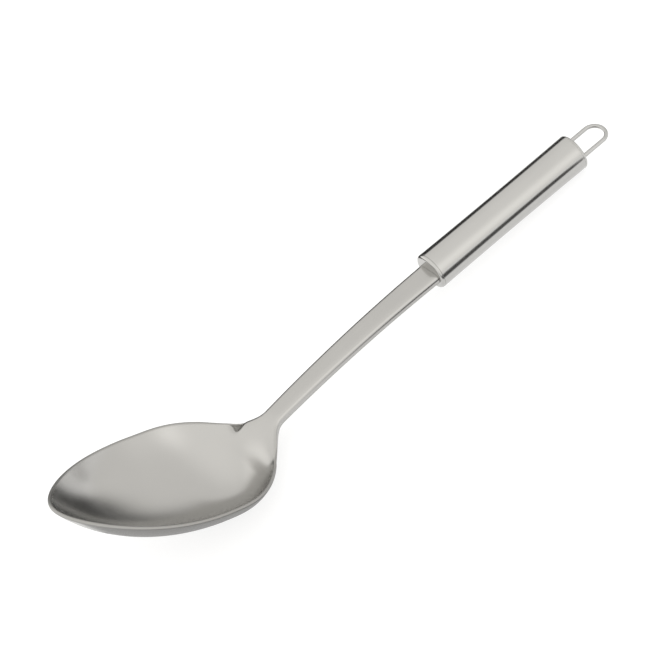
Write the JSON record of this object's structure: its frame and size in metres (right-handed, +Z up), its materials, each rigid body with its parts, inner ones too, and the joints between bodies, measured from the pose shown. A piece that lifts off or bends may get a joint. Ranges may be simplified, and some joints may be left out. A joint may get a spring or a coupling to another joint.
{
  "type": "serving spoon",
  "caption": "Stainless steel solid serving spoon with a deep pointed bowl, a channel-section shank, a round capped tube handle and a wire hanging loop.",
  "frame": {"origin": "on the resting surface, under the middle of the whole spoon lying on its belly and its tail", "axes": "+X from the bowl's tip to the hanging loop at the tail, +Y to the left seen from above with the bowl pointing away from +X, +Z up out of the bowl"},
  "size_m": [0.3258, 0.0786, 0.0656],
  "materials": {
    "satin_steel": "satin, fine brushed stainless steel sheet",
    "polished_steel": "bright polished stainless steel tube",
    "wire_steel": "bright drawn stainless steel wire",
    "weld_steel": "dull grey weld bead, hidden inside the handle"
  },
  "bodies": {
    "root": {"spoon_blade": "satin_steel", "handle_tube": "polished_steel", "front_cap": "polished_steel", "rear_cap": "polished_steel", "hanging_loop": "wire_steel", "tang_weld_upper": "weld_steel", "tang_weld_lower": "weld_steel", "loop_weld_left": "weld_steel", "loop_weld_right": "weld_steel"}
  },
  "joints": []
}
